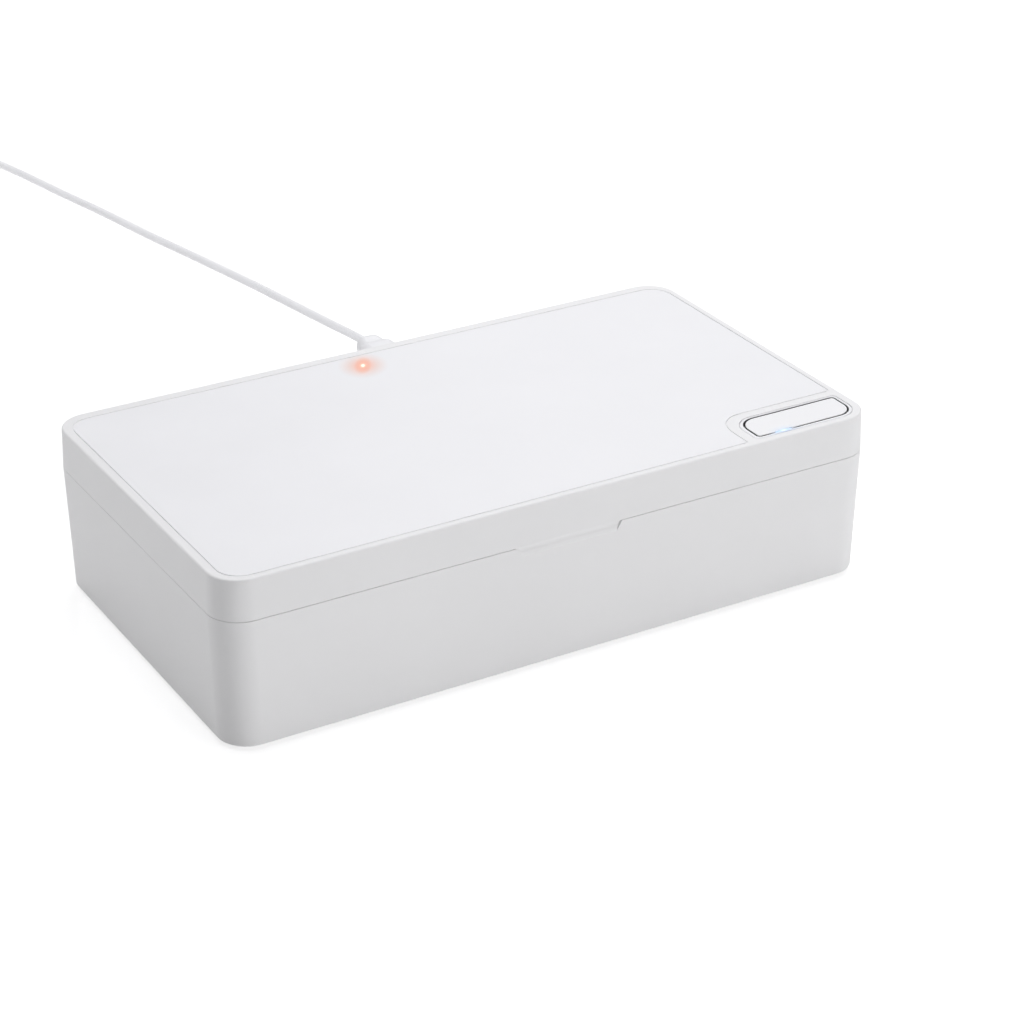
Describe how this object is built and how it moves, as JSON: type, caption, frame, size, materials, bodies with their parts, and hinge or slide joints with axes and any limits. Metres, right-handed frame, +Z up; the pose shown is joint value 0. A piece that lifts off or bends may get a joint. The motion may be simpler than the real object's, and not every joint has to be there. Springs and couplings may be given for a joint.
{
  "type": "ultraviolet sterilizer box",
  "caption": "Low white box for sterilizing small items with ultraviolet light: hinged lid with a flush charging panel, push button and lamps, a mirrored chamber, and a power cord at the back.",
  "frame": {"origin": "bottom centre of the box with its hinges, on the surface it stands on, without the cord", "axes": "+X to the right along the front face, +Y from the front to the hinges, +Z up"},
  "size_m": [0.22, 0.6167, 0.0545],
  "materials": {
    "white_shell": "fine satin moulded plastic",
    "white_panel": "fine satin moulded plastic",
    "white_trim": "smooth moulded plastic",
    "reflector": "bright metallised lining",
    "grey_rubber": "soft silicone",
    "plated_magnet": "nickel plated",
    "steel": "bright steel",
    "black_plastic": "moulded",
    "circuit_board": "solder mask",
    "aluminium_board": "white mask on aluminium",
    "led_ceramic": "ceramic package",
    "quartz": "polished quartz",
    "copper": "enamelled copper wire, varnished",
    "ferrite": "sintered sheet",
    "blue_light": "clear light guide, lit",
    "orange_light": "clear light pipe, lit",
    "cord_jacket": "smooth flexible jacket"
  },
  "bodies": {
    "base": {"base_shell": "white_shell", "chamber_tub": "reflector", "rim_gasket": "grey_rubber", "foot_front_left": "grey_rubber", "foot_front_right": "grey_rubber", "foot_rear_left": "grey_rubber", "foot_rear_right": "grey_rubber", "base_magnet_left": "plated_magnet", "base_magnet_right": "plated_magnet", "tub_screw_left": "steel", "tub_screw_right": "steel", "hinge_pin_left": "steel", "hinge_pin_right": "steel", "usb_socket_shell": "steel", "usb_socket_tongue": "black_plastic", "power_board": "circuit_board", "hall_sensor": "black_plastic"},
    "lid": {"lid_shell": "white_shell", "charging_panel": "white_panel", "button_frame": "white_trim", "button_light_guide": "blue_light", "charge_light_pipe": "orange_light", "charge_light_board": "circuit_board", "lid_liner": "reflector", "lid_screw_front_left": "steel", "lid_screw_front_right": "steel", "lid_screw_rear_left": "steel", "lid_screw_rear_right": "steel", "uvc_window_left": "quartz", "uvc_window_right": "quartz", "uvc_led_left": "led_ceramic", "uvc_led_right": "led_ceramic", "uvc_board_left": "aluminium_board", "uvc_board_right": "aluminium_board", "lid_magnet_left": "plated_magnet", "lid_magnet_right": "plated_magnet", "charging_coil": "copper", "ferrite_sheet": "ferrite", "charger_board": "circuit_board", "switch_board": "circuit_board", "tact_switch": "black_plastic", "sensor_magnet": "plated_magnet"},
    "button": {"power_button": "white_trim"},
    "power_cord": {"usb_plug_shell": "steel", "usb_plug_grip": "white_trim", "cord_strain_relief": "white_trim", "cord_run": "cord_jacket", "cord_coil": "cord_jacket", "cord_tie": "grey_rubber", "cord_tail": "cord_jacket", "usb_a_strain_relief": "white_trim", "usb_a_plug_grip": "white_trim", "usb_a_plug_shell": "steel", "usb_a_plug_tongue": "white_trim"}
  },
  "joints": [
    {"name": "lid_hinge", "type": "hinge", "parent": "base", "child": "lid", "pos_m": [0, 0.0611, 0.0416], "axis": [-1, 0, 0], "range_deg": [0, 95]},
    {"name": "button_press", "type": "slide", "parent": "lid", "child": "button", "axis": [0, 0, -1], "range_m": [0, 0.0008], "stiffness_N_per_m": 1500, "springref_m": -0.0004},
    {"name": "plug_pull", "type": "slide", "parent": "base", "child": "power_cord", "axis": [0, 1, 0], "range_m": [0, 0.012]}
  ]
}
